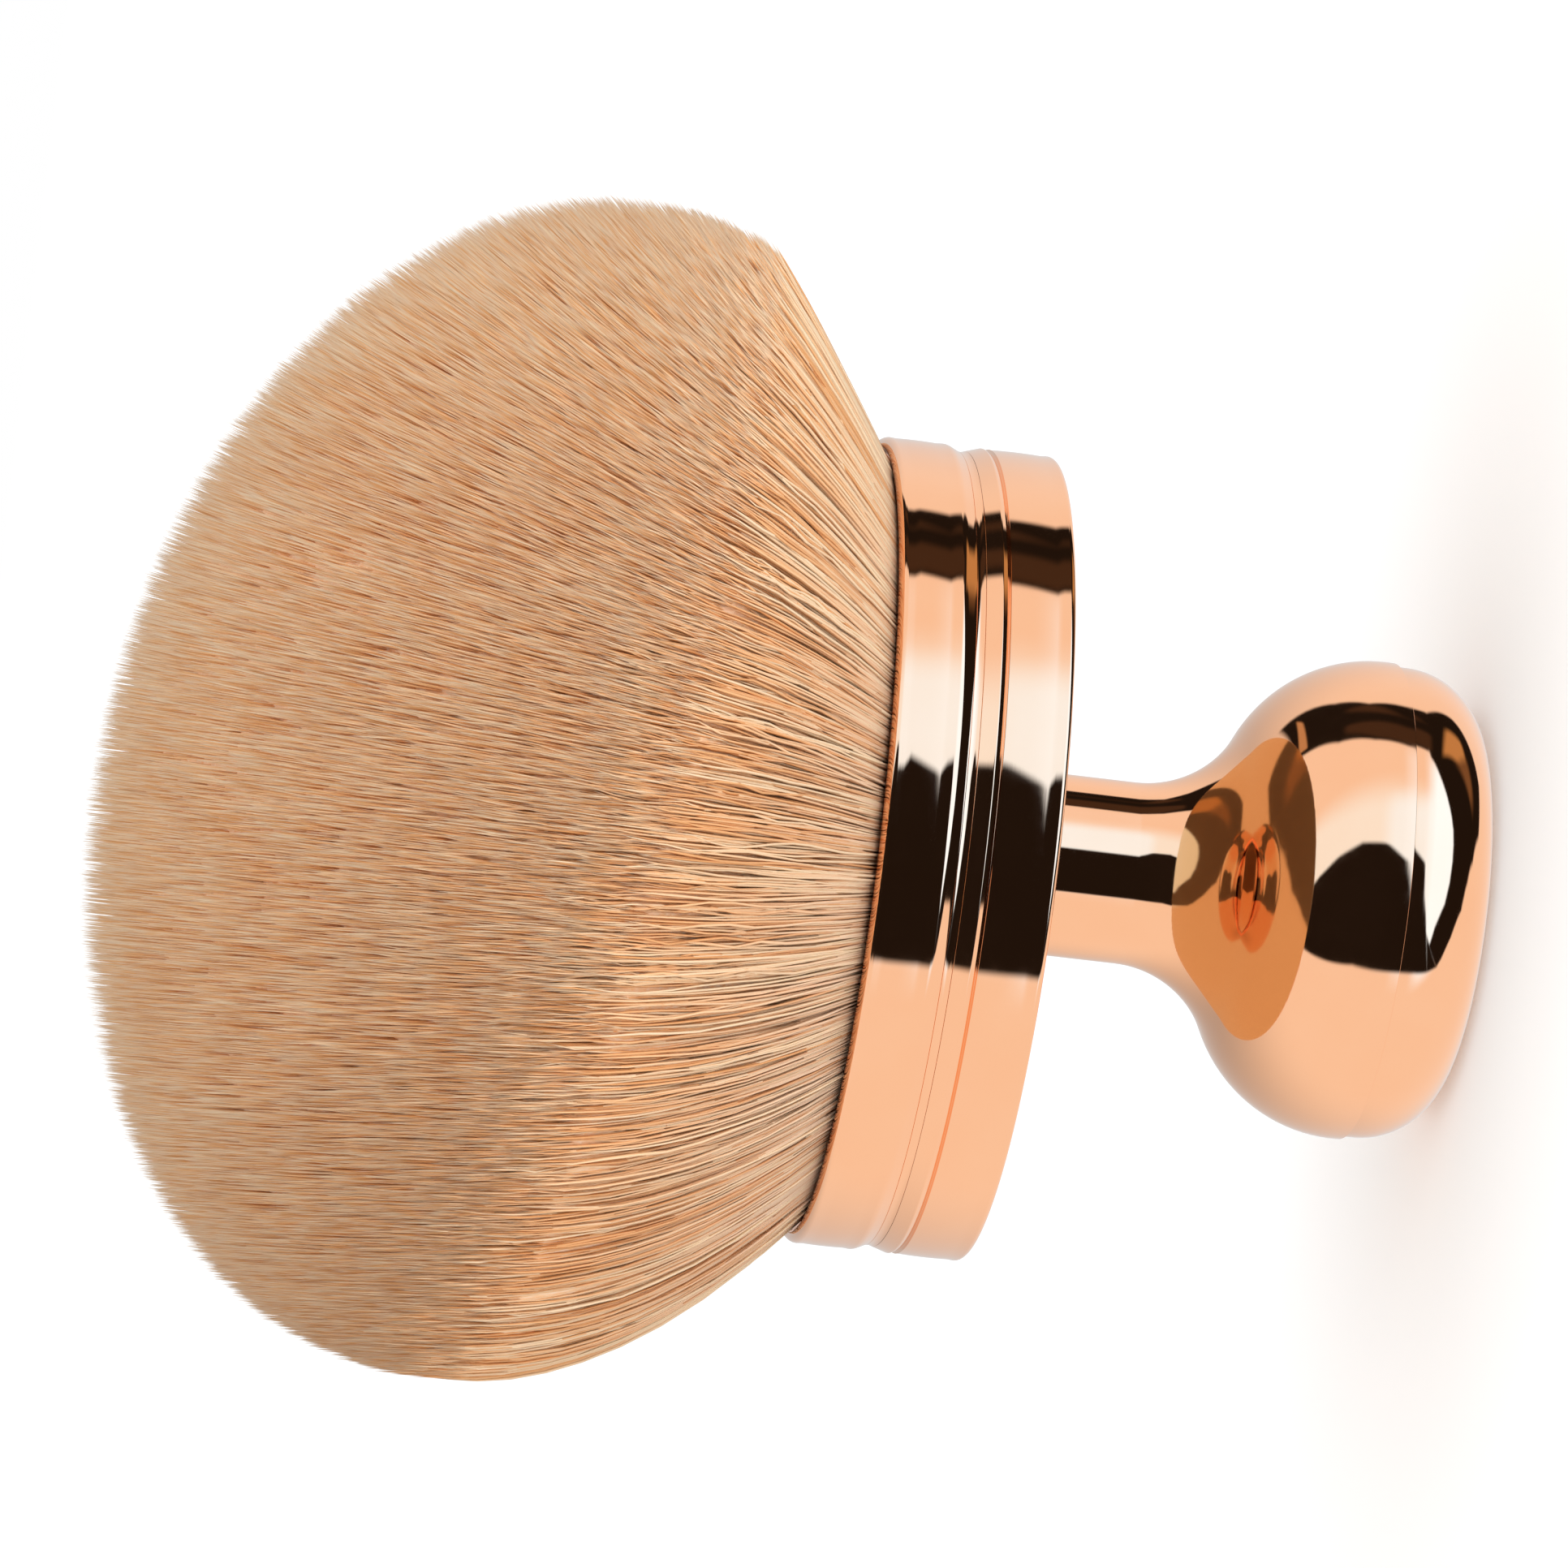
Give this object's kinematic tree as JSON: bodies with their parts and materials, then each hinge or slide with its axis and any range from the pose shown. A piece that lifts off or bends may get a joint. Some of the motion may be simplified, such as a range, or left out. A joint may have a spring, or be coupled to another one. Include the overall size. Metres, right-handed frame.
{
  "type": "makeup brush",
  "caption": "Dense dome powder brush: flared bristle tuft in a wide two-band metal ferrule, short stem and mushroom knob with a flat end to stand on.",
  "frame": {"origin": "centre of the flat end of the knob, where the brush stands", "axes": "+Z along the brush's axis from the knob to the bristles; +X towards the side of the dome that sits a little lower; the brush is otherwise round about Z"},
  "size_m": [0.0678, 0.068, 0.0782],
  "materials": {
    "bristle": "soft tan synthetic filament with paler feathered tips",
    "adhesive": "cast amber adhesive",
    "rose_gold": "mirror polished and anodised rose gold",
    "core_plastic": "moulded black filler",
    "steel": "zinc plated",
    "seal_rubber": "matt black rubber"
  },
  "bodies": {
    "root": {"bristle_tuft": "bristle", "root_adhesive": "adhesive", "front_ferrule": "rose_gold", "seam_ring": "rose_gold", "rear_ferrule": "rose_gold", "ferrule_core": "core_plastic", "hex_nut": "steel", "tie_screw": "steel", "lock_washer": "steel", "flat_washer": "steel", "handle_body": "rose_gold", "knob_weight": "steel", "cap_seal_ring": "seal_rubber", "end_cap": "rose_gold"}
  },
  "joints": []
}
